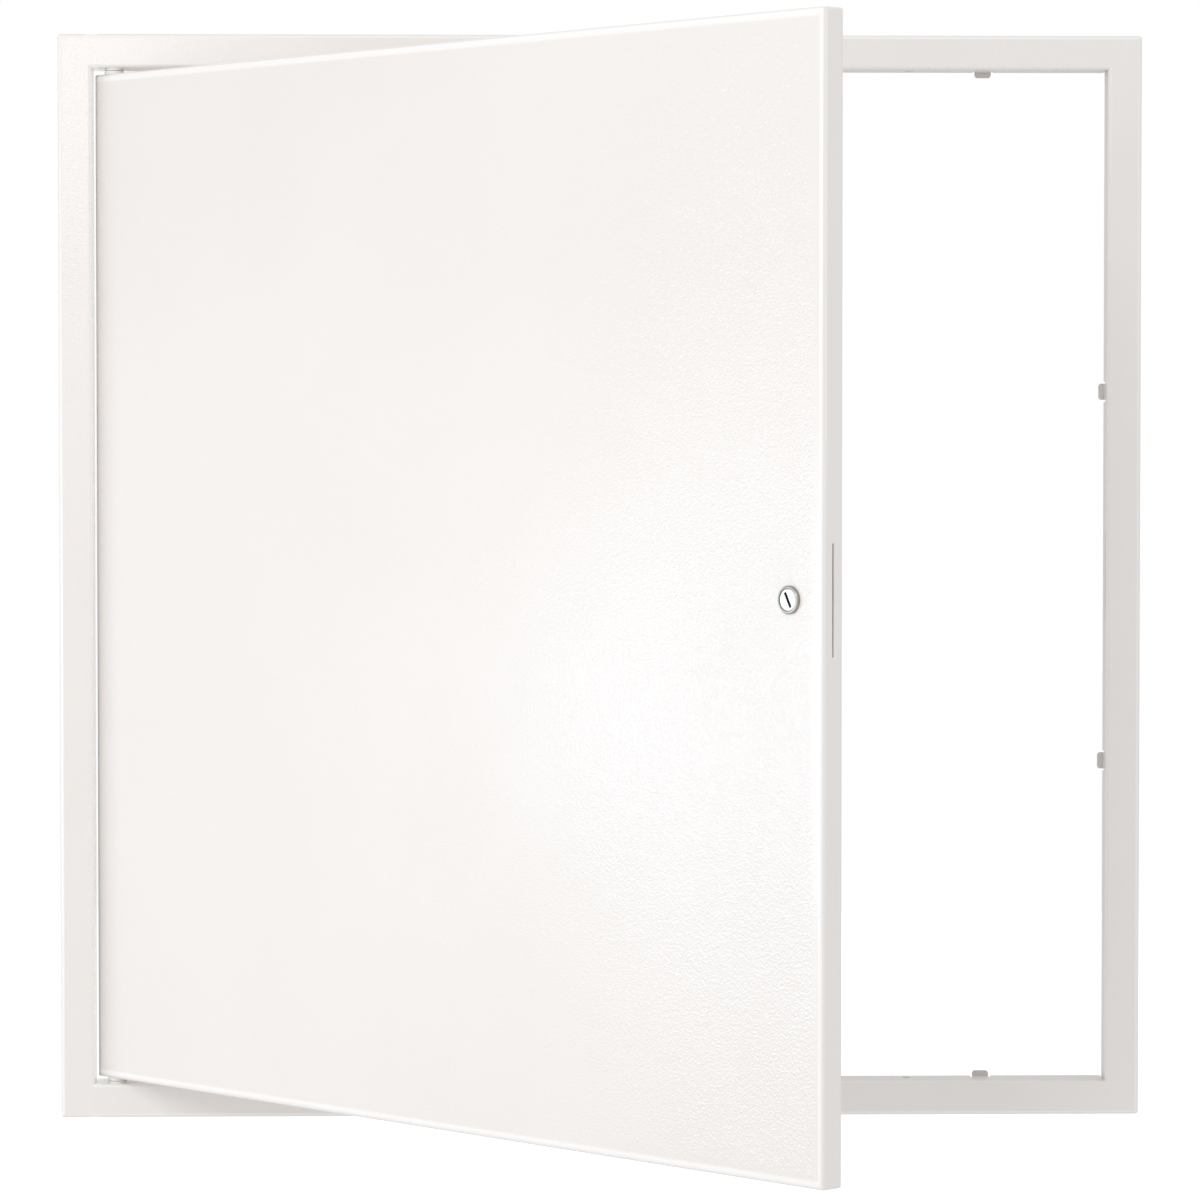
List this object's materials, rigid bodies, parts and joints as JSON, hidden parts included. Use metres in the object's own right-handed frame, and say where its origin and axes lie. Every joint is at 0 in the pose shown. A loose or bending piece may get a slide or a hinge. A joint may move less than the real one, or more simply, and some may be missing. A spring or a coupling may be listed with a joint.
{
  "type": "ceiling access panel",
  "caption": "Flush metal access panel: a square flange frame with a tray door on concealed pivot pins, held shut by a screwdriver cam lock.",
  "frame": {"origin": "centre of the opening, on the plane where the frame's flange rests on the board", "axes": "+Y runs through the panel from the room to the void behind it, +Z up and +X towards the latch side as the panel stands in a wall; in a ceiling +Y points up"},
  "size_m": [0.64, 0.4534, 0.64],
  "materials": {
    "frame_coat": "satin white powder coat",
    "door_coat": "satin white powder coat with fine orange peel",
    "zinc_steel": "zinc plated",
    "nylon": "moulded natural white",
    "nickel": "satin nickel plated"
  },
  "bodies": {
    "frame": {"frame_top_rail": "frame_coat", "frame_bottom_rail": "frame_coat", "frame_hinge_rail": "frame_coat", "frame_latch_rail": "frame_coat", "hinge_pin_top": "zinc_steel", "hinge_pin_bottom": "zinc_steel", "thrust_washer_top": "nylon", "thrust_washer_bottom": "nylon"},
    "door": {"door_skin": "door_coat", "hinge_bracket_top": "door_coat", "hinge_bracket_bottom": "door_coat", "hinge_bush_top": "nylon", "hinge_bush_bottom": "nylon", "lock_housing": "nickel", "lock_tooth_washer": "zinc_steel", "lock_nut": "zinc_steel"},
    "latch": {"lock_plug": "nickel", "cam_stop_washer": "zinc_steel", "lock_cam": "zinc_steel", "cam_spring_washer": "zinc_steel", "cam_screw": "zinc_steel"}
  },
  "joints": [
    {"name": "door_hinge", "type": "hinge", "parent": "frame", "child": "door", "pos_m": [-0.287, 0.0035, 0], "axis": [0, 0, -1], "range_deg": [-47.6, 62.4]},
    {"name": "lock_turn", "type": "hinge", "parent": "door", "child": "latch", "pos_m": [0.08541, -0.41546, 0], "axis": [0.7385, 0.6743, 0], "range_deg": [0, 90]}
  ]
}
